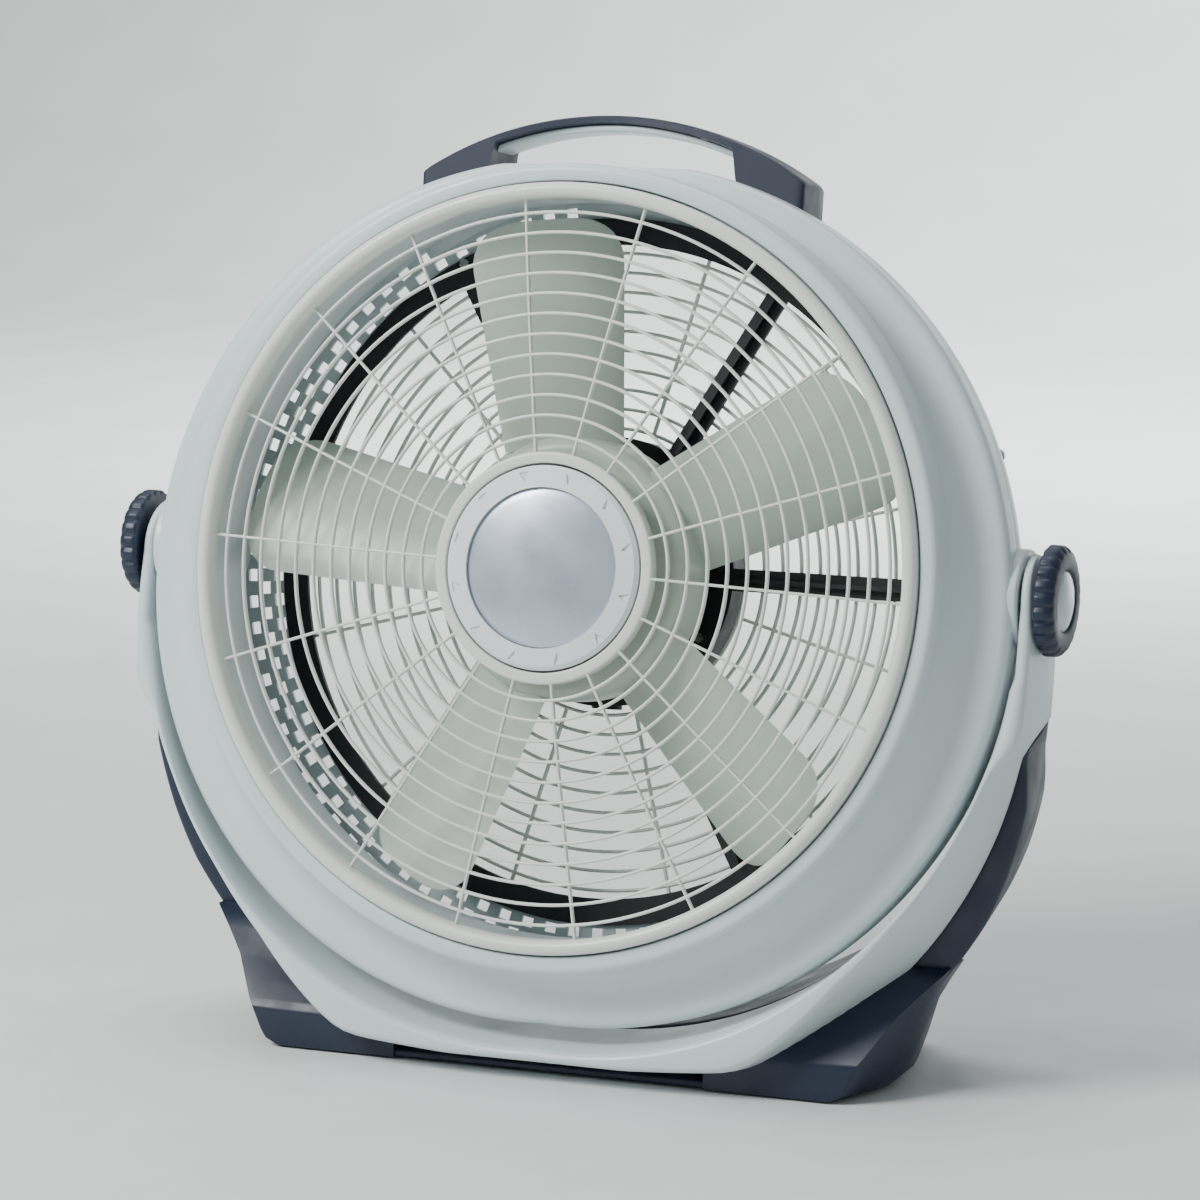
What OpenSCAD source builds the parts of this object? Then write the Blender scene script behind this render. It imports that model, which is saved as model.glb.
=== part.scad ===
// Round floor air circulator: a tilting drum head in a two-piece floor cradle.
// Millimetres, +Z up, the fan blows towards -Y, origin on the floor under the drum.

/* [Cradle] */
// Height of the tilt axis above the floor
pivot_z = 285; // [283:1:290]
// Upward tilt of the head as it stands, in degrees
rest_tilt = 10; // [0:1:25]
// Distance from the middle to the outer face of each cradle arm
arm_out = 276; // [275:0.5:278]
// Gap between the drum and the cradle
drum_gap = 3.2; // [2.6:0.2:3.2]
// Wall thickness of the cradle shells
cradle_wall = 3; // [2.5:0.5:4]
// Distance from the middle to the outer side of each foot
foot_out = 178; // [170:1:190]
// Height of the feet's outer sides
foot_h = 48; // [40:1:60]

/* [Drum] */
// How far the drum sits ahead of the tilt axis
drum_ahead = 12; // [9:1:14]
// Radius of the two overlapping rounds that make the drum's outline
ridge_r = 248.5; // [247.5:0.5:249]
// Radius of the air throat inside the front grille
throat_r = 211.5; // [208:0.5:213]
// Front of the bezel, ahead of the seam between the drum's shells
bezel_z = 49; // [46:1:54]
// Back face of the drum, behind that seam
back_z = 48; // [47:1:50]
// Wall thickness of the drum shells
shell_t = 2.5; // [2:0.5:3]
// Height of the flat top of the drum above the tilt axis
shelf_up = 231.5; // [231.5:0.5:233]

/* [Grilles] */
// Number of radial ribs in the front grille
front_ribs = 18; // [12:1:24]
// Number of rings between the badge and the rim
front_rings = 12; // [8:1:13]
// Forward bulge of the front grille at its middle
grille_rise = 12; // [8:1:16]
// Number of flat spokes in the motor mount
spokes = 6; // [4:1:8]
// Number of air slots in each row round the back
slots_per_row = 90; // [48:2:100]

/* [Impeller] */
// Radius of the blade tips
blade_r = 202; // [190:1:206]
// Radius of the hub
hub_r = 76; // [72:1:80]
// Number of blades
blades = 5; // [3:1:6]
// Setting angle of the blades in degrees
blade_pitch = 27; // [20:1:32]

/* [Handle] */
// Radius of the handle arch
arch_r = 215; // [210:1:225]
// Height of the top of the handle above the tilt axis
arch_up = 264; // [262:0.5:267]
// Depth of the handle from front to back
handle_depth = 38; // [34:1:38]

/* [Knobs] */
// Radius of the tilt knobs
knob_r = 31; // [26:0.5:33]
// Radius of the threaded studs
stud_r = 5; // [4:0.5:6]

/* [Hidden] */

$fn = 96;
over = 1;           // how far a cutting solid runs past what it cuts
run_gap = 0.05;     // radial running clearance
shell_gap = 0.2;    // gap between neighbouring shells

light_gray = "#dde3e5";
navy = "#1b2c42";
black = "#17191c";
silver = "#b9c4d4";
steel = "#9aa0a6";

// ---------- frames ----------
// Inside forward(), x is sideways, y is up and z points out of the front of the fan.
module forward() {
    rotate([90, 0, 0]) children();
}

module head_frame() {
    translate([0, 0, pivot_z]) rotate([-rest_tilt, 0, 0]) forward() children();
}

// As head_frame(), with z = 0 at the seam between the drum's two shells.
module drum_frame() {
    head_frame() translate([0, 0, drum_ahead]) children();
}

module base_frame() {
    translate([0, 0, pivot_z]) forward() children();
}

// Lays a solid made along +z along +x, or along -x when side is -1.
module sideways(side) {
    rotate([0, side * 90, 0]) children();
}

// Lays a flat outline drawn in (forward, up) across the fan, over its whole width.
module across(half) {
    rotate([0, -90, 0]) translate([0, 0, -half]) linear_extrude(2 * half) children();
}

module ring_of(count, radius, start = 0) {
    for (i = [0 : count - 1])
        rotate(start + i * 360 / count) translate([radius, 0, 0]) children();
}

module tube(r_out, r_in, h) {
    difference() {
        cylinder(h = h, r = r_out);
        translate([0, 0, -over]) cylinder(h = h + 2 * over, r = r_in);
    }
}

function arc(cx, cy, r, from, to, steps = 8) =
    [for (i = [0 : steps]) let (a = from + (to - from) * i / steps)
        [cx + r * cos(a), cy + r * sin(a)]];

// ---------- drum shells ----------
ledge_z = bezel_z - 7;    // seat of the grille rim
bezel_in_r = 220.3;       // inner edge of the bezel
bezel_out_r = 230.5;
ridge_side = 15;          // the outline's two rounds sit this far to each side
ridge_drop = 13;          // and this far below the fan axis
flange_z = 17.5;          // front face of the ridge
fillet_r = 26;            // hollow curve between neck and ridge
fillet_mid = ridge_r - 10;
ridge_round = 6;
back_round = 56;          // curve of the drum's side towards the back
back_round_z = -1;        // middle of that curve
back_edge_in = 22;        // the flat back ends this far inside the outline
back_in_r = 200;          // hole in the back
boss_r = 28;              // pivot bosses in the drum's sides
boss_in = 236;
boss_out = 266;
boss_end_t = 3.2;         // thickness of each boss's outer end
insert_r = 8;
insert_in = 240;
slot_rows = 3;
slot_first_r = 211.5;
slot_row_pitch = 8.5;
slot_long = 5.8;
slot_wide = 7.2;
housing_screw_r = ridge_r - 6.5;
housing_screw_angles = [-62, -22.5, 22.5, 62];
grille_screw_r = 216.6;
screw_gap = 0.05;
far = 400;                // longer than anything that it cuts

module outline_pair() {
    for (side = [-1, 1]) translate([side * ridge_side, -ridge_drop, 0]) children();
}

// Distance from the fan axis to the outline drawn with rounds of radius r, at angle a.
function reach(a, r) =
    let (across_it = ridge_side * sin(a) + ridge_drop * abs(cos(a)))
        ridge_side * abs(cos(a)) - ridge_drop * sin(a) + sqrt(r * r - pow(across_it, 2));

// Solid of the ridge ahead of the seam, t in from the surface.
module ridge_solid(t) {
    outline_pair() rotate_extrude() polygon(concat(
        [[0, t > 0 ? -over : 0], [0, flange_z + fillet_r]],
        arc(fillet_mid, flange_z + fillet_r, fillet_r + t, 180, 270),
        arc(ridge_r - ridge_round, flange_z - ridge_round, ridge_round - t, 90, 0, 5),
        [[ridge_r - t, t > 0 ? -over : 0]]));
}

// Solid of the drum behind the seam, t in from the surface.
module back_solid(t) {
    outline_pair() rotate_extrude() polygon(concat(
        [[0, t > 0 ? over : 0], [ridge_r - t, t > 0 ? over : 0]],
        arc(ridge_r - back_round, back_round_z, back_round - t, 0, -46),
        [[ridge_r - back_edge_in - t / 2, t - back_z], [0, t - back_z]]));
}

// Throat, grille seat, bezel and neck.
module bezel_section() {
    t = shell_t;
    polygon(concat(
        [[throat_r, 0], [throat_r, ledge_z], [bezel_in_r, ledge_z], [bezel_in_r, bezel_z]],
        arc(bezel_out_r - 4, bezel_z - 4, 4, 90, 0, 4),
        [[bezel_out_r, flange_z - t], [bezel_out_r - t, flange_z - t],
         [bezel_out_r - t, ledge_z - t], [throat_r + t, ledge_z - t], [throat_r + t, 0]]));
}

module above_shelf() {
    translate([-far, shelf_up, -far]) cube(2 * far);
}

// The flat wall that closes the drum's top, as thick as the shell.
module shelf() {
    intersection() {
        children();
        translate([-far, shelf_up - shell_t, -far]) cube([2 * far, shell_t, 2 * far]);
    }
}

module half_bosses(front) {
    intersection() {
        for (side = [-1, 1]) translate([0, 0, -drum_ahead]) sideways(side)
            translate([0, 0, boss_in]) difference() {
                cylinder(h = boss_out - boss_in, r = boss_r);
                translate([0, 0, -over]) difference() {
                    cylinder(h = boss_out - boss_in + over - boss_end_t, r = boss_r - shell_t);
                    cylinder(h = far, r = insert_r + 3);
                }
            }
        translate([-far, -50, front ? 0 : -60]) cube([2 * far, 100, 60]);
    }
}

module insert_pockets() {
    for (side = [-1, 1]) translate([0, 0, -drum_ahead]) sideways(side)
        translate([0, 0, insert_in]) cylinder(h = 60, r = insert_r);
}

module housing_screw_places() {
    for (side = [-1, 1], a = housing_screw_angles)
        translate([side * (ridge_side + housing_screw_r * cos(a)),
            housing_screw_r * sin(a) - ridge_drop, 0]) children();
}

module front_housing() {
    color(light_gray) drum_frame() difference() {
        union() {
            difference() {
                ridge_solid(0);
                ridge_solid(shell_t);
                translate([0, 0, -over]) cylinder(h = far, r = bezel_out_r - 1);
                above_shelf();
            }
            rotate_extrude() bezel_section();
            difference() {
                shelf() ridge_solid(0);
                cylinder(h = far, r = bezel_out_r - 1);
            }
            half_bosses(true);
            housing_screw_places() cylinder(h = flange_z - 1, r = 5);
        }
        insert_pockets();
        housing_screw_places() translate([0, 0, -over])
            cylinder(h = 12 + over, r = 2 + screw_gap);
        ring_of(6, grille_screw_r, 30)
            translate([0, 0, ledge_z - 10]) cylinder(h = 20, r = 1.5 + screw_gap);
    }
}

module air_slots() {
    for (row = [0 : slot_rows - 1], i = [0 : slots_per_row - 1])
        let (a = (i + row / 2) * 360 / slots_per_row, r = slot_first_r + row * slot_row_pitch)
            if (r + slot_long / 2 + 1 < reach(a, ridge_r - back_edge_in))
                rotate(a) translate([r, 0]) square([slot_long, slot_wide], center = true);
}

module rear_housing() {
    color(light_gray) drum_frame() difference() {
        union() {
            difference() {
                back_solid(0);
                back_solid(shell_t);
                above_shelf();
            }
            shelf() back_solid(0);
            half_bosses(false);
            intersection() {
                union() {
                    housing_screw_places() translate([0, 0, -back_z]) cylinder(h = back_z, r = 5.5);
                    handle_screw_places() cylinder(h = 30, r = 6);
                }
                back_solid(0);
            }
        }
        translate([0, 0, -back_z - over]) {
            cylinder(h = back_z + 2 * over, r = back_in_r);
            linear_extrude(shell_t + 2 * over) air_slots();
        }
        insert_pockets();
        housing_screw_places() {
            translate([0, 0, -30]) cylinder(h = 40, r = 2 + screw_gap);
            translate([0, 0, -60]) cylinder(h = 36, r = 4);
        }
        ring_of(spokes, mount_screw_r, spoke_start)
            translate([0, 0, -back_z - over]) cylinder(h = 9, r = 1.5 + screw_gap);
        handle_screw_places() translate([0, 0, -over]) cylinder(h = 40, r = 2 + screw_gap);
    }
}

module housing_screws() {
    color(steel) drum_frame() housing_screw_places() {
        translate([0, 0, -27]) cylinder(h = 3, r = 3.7);
        translate([0, 0, -24.5]) cylinder(h = 35, r = 2);
    }
}

// ---------- front grille and badge ----------
ring_wide = 2.2;
ring_deep = 3;
first_ring_r = 75;
first_rib = -2;           // angle of one of the ribs
ring_pitch = (throat_r - 9 - first_ring_r) / (front_rings - 1);
collar_r = 66;
collar_in_r = 58.5;
badge_z = ledge_z + grille_rise - 2;    // face that the badge is glued to
badge_ring_in = 45.6;

function grille_z(r) = bezel_z - 2 + grille_rise * (1 - pow(r / throat_r, 2));

module grille_rib() {
    stations = [for (i = [0 : 5]) collar_r - 4 + (throat_r + 1 - collar_r + 4) * i / 5];
    rotate([90, 0, 0]) translate([0, 0, -0.9]) linear_extrude(1.8) polygon(concat(
        [for (r = stations) [r, grille_z(r) - 0.4]],
        [for (i = [5 : -1 : 0]) [stations[i], grille_z(stations[i]) - 0.4 - ring_deep]]));
}

module grille_rim() {
    crest_r = 4.3;
    crest_mid = 215;
    rotate_extrude() polygon(concat(
        [[crest_mid + crest_r, ledge_z + shell_gap]],
        arc(crest_mid, bezel_z + 1, crest_r, 0, 180),
        [[crest_mid - crest_r, ledge_z + shell_gap]]));
}

module front_grille() {
    color("#d5dbd4") drum_frame() difference() {
        union() {
            grille_rim();
            for (i = [0 : front_ribs - 1]) rotate(first_rib + i * 360 / front_ribs) grille_rib();
            for (i = [0 : front_rings - 1])
                let (r = first_ring_r + i * ring_pitch)
                    rotate_extrude() translate([r - ring_wide / 2, grille_z(r) - ring_deep])
                        square([ring_wide, ring_deep]);
            translate([0, 0, badge_z - 2]) cylinder(h = 2, r = collar_in_r + 1);
            translate([0, 0, badge_z - 2]) tube(collar_r, collar_in_r, 8);
        }
        ring_of(6, grille_screw_r, 30)
            translate([0, 0, ledge_z - over]) cylinder(h = 7, r = 1.5 + screw_gap);
    }
}

module grille_screws() {
    color(steel) drum_frame() ring_of(6, grille_screw_r, 30) {
        translate([0, 0, ledge_z - shell_t - 2.2]) cylinder(h = 2, r = 1.5 + 1);
        translate([0, 0, ledge_z - shell_t - 1]) cylinder(h = 8, r = 1.5);
    }
}

module badge_ring() {
    color("#e8ecf0") drum_frame() translate([0, 0, badge_z + 0.1]) difference() {
        rotate_extrude() polygon([[badge_ring_in, 0], [collar_in_r - 0.3, 0],
            [collar_in_r - 0.3, 5.5], [collar_in_r - 2.5, 7.5], [badge_ring_in, 9]]);
        ring_of(12, 52, 15) translate([0, 0, 7]) linear_extrude(5)
            polygon([[3.2, -3], [3.2, 3], [-2.6, 0]]);
    }
}

module badge_disc() {
    dome_r = 230;
    disc_r = badge_ring_in - 0.3;
    color(silver) drum_frame() translate([0, 0, badge_z + 0.1]) intersection() {
        cylinder(h = 20, r = disc_r);
        translate([0, 0, 11.5 - dome_r]) sphere(r = dome_r);
    }
}

// ---------- motor mount and rear grille ----------
mount_t = 2.9;
mount_z = shell_t - back_z + shell_gap;   // back face of the motor mount
mount_ring_out = 206.5;
mount_ring_in = 191;
mount_hub_r = 79;
mount_screw_r = 203;
spoke_wide = 13;
spoke_start = 0;
rear_rings = 11;
rear_ribs = 12;

module motor_mount() {
    spoke_rib_wide = 2.5;
    color(black) drum_frame() translate([0, 0, mount_z]) union() {
        linear_extrude(mount_t) difference() {
            union() {
                difference() {
                    circle(r = mount_ring_out);
                    circle(r = mount_ring_in);
                }
                circle(r = mount_hub_r);
                ring_of(spokes, mount_hub_r - 2, spoke_start)
                    translate([0, -spoke_wide / 2])
                        square([mount_ring_in - mount_hub_r + 4, spoke_wide]);
            }
            circle(r = 12.2);
            ring_of(4, motor_screw_r, 45) circle(r = 2 + screw_gap);
            ring_of(3, cover_screw_r, 90) circle(r = 1.5 + screw_gap);
            ring_of(spokes, mount_screw_r, spoke_start) circle(r = 1.5 + screw_gap);
            ring_of(3, 60, 30) circle(r = 7);
        }
        ring_of(spokes, mount_hub_r + 2, spoke_start)
            translate([0, -spoke_rib_wide / 2, over])
                cube([mount_ring_in - mount_hub_r - 4, spoke_rib_wide, 8 - over]);
    }
}

module mount_screws() {
    color(steel) drum_frame() ring_of(spokes, mount_screw_r, spoke_start) {
        translate([0, 0, mount_z + mount_t]) cylinder(h = 2, r = 2.9);
        translate([0, 0, -back_z]) cylinder(h = mount_z + mount_t + back_z + 1, r = 1.5);
    }
}

rear_grille_t = 3;
rear_first_r = 83;
rear_last_r = back_in_r - 1;

module rear_grille() {
    pitch = (rear_last_r - rear_first_r - 2) / (rear_rings - 1);
    color("#cdd4cf") drum_frame() translate([0, 0, -back_z - shell_gap - rear_grille_t]) {
        linear_extrude(rear_grille_t) union() {
            for (i = [0 : rear_rings - 1]) let (r = rear_first_r + i * pitch) difference() {
                circle(r = r + 2);
                circle(r = r);
            }
            for (i = [0 : rear_ribs - 1]) rotate(15 + i * 360 / rear_ribs)
                translate([rear_first_r + 1, -1]) square([rear_last_r - rear_first_r - 1, 2]);
            difference() {
                circle(r = back_in_r + 5);
                circle(r = back_in_r - 3);
            }
        }
    }
}

// ---------- rear cover with its controls ----------
cover_r = 78;
cover_front = -back_z + shell_t;     // where the cover meets the motor mount
cover_back = -82;
cover_round = 14;
cover_t = 2.5;
cover_screw_r = 70;
switch_up = 30;                      // height of the speed switch above the fan axis
gland_r = 7;

module rear_cover() {
    color("#2a2e33") drum_frame() difference() {
        union() {
            rotate_extrude() polygon(concat(
                [[cover_r, cover_front]],
                arc(cover_r - cover_round, cover_back + cover_round, cover_round, 0, -90),
                [[0, cover_back], [0, cover_back + cover_t]],
                arc(cover_r - cover_round, cover_back + cover_round,
                    cover_round - cover_t, -90, 0),
                [[cover_r - cover_t, cover_front]]));
            ring_of(3, cover_screw_r, 90) translate([0, 0, cover_back + 8])
                cylinder(h = cover_front - cover_back - 8, r = 4);
        }
        ring_of(3, cover_screw_r, 90) translate([0, 0, cover_front - 14])
            cylinder(h = 20, r = 1.5 + screw_gap);
        translate([0, switch_up, cover_back - over]) cylinder(h = 10, r = 5.2);
        translate([0, -cover_r + 10, -58]) rotate([90, 0, 0]) cylinder(h = 20, r = gland_r);
        for (i = [-3 : 3]) translate([i * 8 - 1.5, -50, cover_back - over]) cube([3, 26, 5]);
    }
}

module cover_screws() {
    color(steel) drum_frame() ring_of(3, cover_screw_r, 90) {
        translate([0, 0, mount_z + mount_t]) cylinder(h = 2, r = 2.9);
        translate([0, 0, cover_front - 10]) cylinder(h = 10 + mount_t + 1, r = 1.5);
    }
}

module cord_gland() {
    color(black) drum_frame() translate([0, -cover_r - 2.5, -58]) rotate([-90, 0, 0])
        difference() {
            union() {
                cylinder(h = 7.5, r = gland_r);
                cylinder(h = 2.2, r = gland_r + 2);
            }
            translate([0, 0, -over]) cylinder(h = 12, r = 3.6);
        }
}

module speed_switch() {
    color("#33363b") drum_frame() translate([0, switch_up, 0]) {
        translate([-14, -14, cover_back + cover_t + 0.2]) cube([28, 28, 15]);
        translate([0, 0, cover_back - 8]) cylinder(h = 14, r = 3);
        translate([0, 0, cover_back + 0.2]) cylinder(h = 5, r = 5);
        for (x = [-8, 0, 8]) translate([x - 1.5, -0.5, cover_back + 17]) cube([3, 1, 8]);
    }
}

module speed_knob() {
    color(navy) drum_frame() translate([0, switch_up, cover_back - 15]) difference() {
        union() {
            translate([0, 0, 11.5]) cylinder(h = 3, r = 20);
            translate([0, 0, 3]) cylinder(h = 9, r1 = 16, r2 = 18);
            translate([-17, -3.5, 0]) cube([34, 7, 12]);
        }
        translate([0, 0, 6]) cylinder(h = 10, r = 3 + run_gap);
    }
}

module capacitor() {
    color("#8d9298") drum_frame() translate([-19, -48, cover_back + cover_t + 0.5]) {
        cube([38, 20, 24]);
        for (x = [10, 26]) translate([x, 9, 24]) cube([2, 2, 5]);
    }
}

// ---------- motor ----------
shaft_r = 4;
motor_r = 45;
stator_back = -33;
stator_front = -13;
stator_in_r = 24.5;
bell_front = 1;
bell_back = mount_z + mount_t + 0.1;
bearing_r = 7;
motor_screw_r = 36;

// One cup of the motor's case, with its open rim at z = 0 and its end at z = depth.
module motor_bell(depth, nose) {
    difference() {
        rotate_extrude() polygon([[bearing_r, depth - 6], [bearing_r + 4, depth - 6],
            [bearing_r + 4, depth - 2.5], [motor_r - 5, depth - 2.5],
            [motor_r - 2.5, depth - 5], [motor_r - 2.5, 0], [motor_r, 0],
            [motor_r, depth - 4], [motor_r - 4, depth], [bearing_r + 4, depth],
            [bearing_r + 4, depth + nose], [bearing_r, depth + nose]]);
        ring_of(4, motor_screw_r, 45) translate([0, 0, depth - 8])
            cylinder(h = 12, r = 2 + screw_gap);
        ring_of(8, 24, 22.5) translate([0, 0, depth - 8]) cylinder(h = 12, r = 4);
    }
}

module motor_front_bell() {
    color("#6f757c") drum_frame() translate([0, 0, stator_front - 9])
        motor_bell(bell_front - stator_front + 9, 3);
}

module motor_rear_bell() {
    color("#6f757c") drum_frame() translate([0, 0, stator_front - 9.2]) mirror([0, 0, 1])
        motor_bell(stator_front - 9.2 - bell_back, 5);
}

module motor_stator() {
    color("#7c7468") drum_frame() translate([0, 0, stator_back])
        tube(motor_r - 2.6, stator_in_r, stator_front - stator_back);
}

module motor_windings() {
    color("#b5713a") drum_frame() for (z = [stator_back - 3, stator_front + 3])
        translate([0, 0, z]) rotate_extrude() translate([31, 0]) circle(r = 2.9);
}

module motor_bearings() {
    color("#a8854a") drum_frame() {
        translate([0, 0, bell_front - 6]) tube(bearing_r, shaft_r + run_gap, 9);
        translate([0, 0, bell_back - 5]) tube(bearing_r, shaft_r + run_gap, 11);
    }
}

module motor_rotor_core() {
    color("#8b8f94") drum_frame() translate([0, 0, stator_back - 1])
        tube(stator_in_r - 0.4, shaft_r, stator_front - stator_back + 2);
}

shaft_front = 38;
shaft_back = -51;

module motor_shaft() {
    color(steel) drum_frame() translate([0, 0, shaft_back])
        cylinder(h = shaft_front - shaft_back, r = shaft_r);
}

module motor_screws() {
    color(steel) drum_frame() ring_of(4, motor_screw_r, 45) {
        translate([0, 0, mount_z - 2.5]) cylinder(h = 2.4, r = 3.6);
        translate([0, 0, mount_z - 1]) cylinder(h = 9, r = 2);
    }
}

// ---------- impeller ----------
hub_front = 28;
hub_back = -8;
hub_t = 2.5;
blade_mid_z = 8;
blade_t = 2.4;
blade_chord = 108;
camber_r = 130;           // radius of the blade's hollow curve
blade_start = 27;
nut_r = 13;

// Strip of a circle that is the blade's cross-section, its hollow side down.
module blade_section() {
    half = asin(blade_chord / 2 / camber_r);
    sag = camber_r * (1 + cos(half)) / 2;
    polygon(concat(
        arc(0, -sag, camber_r + blade_t / 2, 90 - half, 90 + half, 6),
        arc(0, -sag, camber_r - blade_t / 2, 90 + half, 90 - half, 6)));
}

module blade_outline() {
    round_r = 26;
    root_half = 30;
    tip_half = 41;
    polygon(concat(
        [[hub_r - 6, -root_half]],
        arc(blade_r - round_r - 3, round_r - tip_half, round_r, -80, -8),
        [[blade_r, 0]],
        arc(blade_r - round_r - 3, tip_half - round_r, round_r, 8, 80),
        [[hub_r - 6, root_half]]));
}

module blade() {
    intersection() {
        translate([hub_r - 1.5, 0, blade_mid_z]) rotate([blade_pitch, 0, 0])
            rotate([90, 0, 90]) linear_extrude(blade_r - hub_r + 10) blade_section();
        translate([0, 0, -60]) linear_extrude(120) blade_outline();
    }
}

module impeller() {
    color("#c3cabf") drum_frame() difference() {
        union() {
            rotate_extrude() polygon(concat(
                [[0, hub_front - hub_t], [hub_r - 8, hub_front - hub_t]],
                arc(hub_r - 8, hub_front - 8, 8 - hub_t, 90, 0, 4),
                [[hub_r - hub_t, hub_back], [hub_r, hub_back]],
                arc(hub_r - 8, hub_front - 8, 8, 0, 90, 4),
                [[0, hub_front]]));
            translate([0, 0, hub_front - 20]) cylinder(h = 20, r = 9);
            ring_of(5, 0, 10) translate([8, -1.2, hub_front - 12]) cube([hub_r - 12, 2.4, 11]);
            ring_of(blades, 0, blade_start) blade();
        }
        translate([0, 0, hub_front - 30]) cylinder(h = 40, r = shaft_r);
    }
}

module spinner_nut() {
    color(navy) drum_frame() translate([0, 0, hub_front + 0.1]) difference() {
        union() {
            cylinder(h = 3, r = nut_r);
            cylinder(h = 11, r = 9, $fn = 6);
        }
        translate([0, 0, -over]) cylinder(h = 9.5 + over + 0.2, r = shaft_r);
    }
}

// ---------- handle ----------
strap_t = 5.5;
liner_t = 4;
foot_in = 76;             // where the handle's feet begin
foot_end = 118;
handle_front = -9;
handle_back = handle_front - handle_depth;
arch_mid = arch_up - arch_r;

// Each place is the foot of a boss inside the drum, with +z pointing outwards.
module handle_screw_places() {
    for (side = [-1, 1], z = [-17, -33])
        translate([side * ridge_side, -ridge_drop, z]) rotate(-side * 17)
            translate([0, ridge_r - 18, 0]) rotate([-90, 0, 0]) children();
}

// Plan of the strap, narrower in the middle where the hand closes round it.
module strap_plan() {
    waist = 4;
    linear_extrude(400) polygon(concat(
        [[-foot_end, handle_back], [-foot_in, handle_back]],
        [for (i = [0 : 12]) let (x = -foot_in + i * foot_in / 6)
            [x, handle_back + waist * (1 + cos(180 * x / foot_in)) / 2]],
        [[foot_in, handle_back], [foot_end, handle_back],
         [foot_end, handle_front], [foot_in, handle_front]],
        [for (i = [0 : 12]) let (x = foot_in - i * foot_in / 6)
            [x, handle_front - waist * (1 + cos(180 * x / foot_in)) / 2]],
        [[-foot_in, handle_front], [-foot_end, handle_front]]));
}

module handle_outline() {
    difference() {
        intersection() {
            translate([0, arch_mid]) circle(r = arch_r, $fn = 180);
            translate([-foot_end, shelf_up - 30]) square([2 * foot_end, 100]);
        }
        intersection() {
            translate([0, arch_mid]) circle(r = arch_r - strap_t, $fn = 180);
            translate([-foot_in, shelf_up - 40]) square([2 * foot_in, 100]);
        }
    }
}

// Room that the handle leaves for the drum under it.
module handle_seat() {
    intersection() {
        union() {
            back_solid(-shell_gap);
            ridge_solid(-shell_gap);
        }
        translate([-far, 0, -far]) cube([2 * far, shelf_up + shell_gap, 2 * far]);
    }
}

module handle() {
    color(navy) drum_frame() difference() {
        intersection() {
            translate([0, 0, -100]) linear_extrude(200) handle_outline();
            translate([0, 400, 0]) rotate([90, 0, 0]) strap_plan();
        }
        handle_seat();
        handle_screw_places() cylinder(h = 26, r = 2 + screw_gap);
    }
}

module handle_liner() {
    color(light_gray) drum_frame() translate([0, 0, handle_back + 7])
        linear_extrude(handle_depth - 14) intersection() {
            difference() {
                translate([0, arch_mid]) circle(r = arch_r - strap_t - 0.1, $fn = 180);
                translate([0, arch_mid]) circle(r = arch_r - strap_t - liner_t, $fn = 180);
            }
            translate([0.5 - foot_in, shelf_up]) square([2 * foot_in - 1, 60]);
        }
}

module handle_screws() {
    color(steel) drum_frame() handle_screw_places() {
        translate([0, 0, -2.6]) cylinder(h = 2.5, r = 4);
        translate([0, 0, -1]) cylinder(h = 25, r = 2);
    }
}

// ---------- tilt pivots ----------
washer_t = 1.1;
arm_in = boss_out + 1.4;
knob_gap = 0.3;
knob_thick = 11.5;
cap_r = 17;
flutes = 20;

module pivot_inserts() {
    color("#b08d4c") head_frame() for (side = [-1, 1]) sideways(side)
        translate([0, 0, insert_in]) tube(insert_r, stud_r + run_gap, boss_out - insert_in);
}

module pivot_washers() {
    color("#3a3d40") head_frame() for (side = [-1, 1]) sideways(side)
        translate([0, 0, boss_out + 0.1]) tube(14, stud_r + 0.5, washer_t);
}

module knob_body() {
    translate([0, 0, arm_out + knob_gap]) difference() {
        rotate_extrude() polygon(concat(
            [[0, 0], [knob_r - 2, 0]],
            arc(knob_r - 2, 2, 2, -90, 0, 3),
            arc(knob_r - 6, knob_thick - 6, 6, 0, 90, 6),
            [[cap_r + 1.5, knob_thick], [cap_r + 0.2, knob_thick - 2], [0, knob_thick - 2]]));
        ring_of(flutes, knob_r + 1.6) translate([0, 0, -over]) cylinder(h = 20, r = 3.2);
        translate([0, 0, -over]) cylinder(h = 6 + over, r = stud_r);
    }
}

module knob_cap() {
    dome = 45;
    translate([0, 0, arm_out + knob_gap + knob_thick - 1.9]) intersection() {
        cylinder(h = 10, r = cap_r);
        translate([0, 0, 4.2 - dome]) sphere(r = dome);
    }
}

module knob_stud() {
    translate([0, 0, insert_in + 3])
        cylinder(h = arm_out + knob_gap + 6 - insert_in - 3, r = stud_r);
}

module left_knob() { color(navy) head_frame() sideways(-1) knob_body(); }
module left_knob_cap() { color(silver) head_frame() sideways(-1) knob_cap(); }
module left_knob_stud() { color(steel) head_frame() sideways(-1) knob_stud(); }
module right_knob() { color(navy) head_frame() sideways(1) knob_body(); }
module right_knob_cap() { color(silver) head_frame() sideways(1) knob_cap(); }
module right_knob_stud() { color(steel) head_frame() sideways(1) knob_stud(); }

// ---------- cradle ----------
front_mid = -30;          // height of the front shell's outer round, from the tilt axis
front_r_seam = 277;
front_r_front = 267;
front_z = 86;             // foremost point of the cradle
seam_z = -8;              // plane where the two shells meet
rear_mid = -58;           // height of the rear shell's outer round
rear_r_seam = 277;
rear_r_back = 262;
back_edge = -88;
arm_half = 25;
sole_up = 8 - pivot_z;            // underside of the front shell
plate_up = 1.5 - pivot_z;         // underside of the rear shell
tip_up = -62;                     // top of the rear shell
tip_end = -105;
cradle_screw_r = 276;
cradle_screw_angles = [28, 42, 56];

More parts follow.
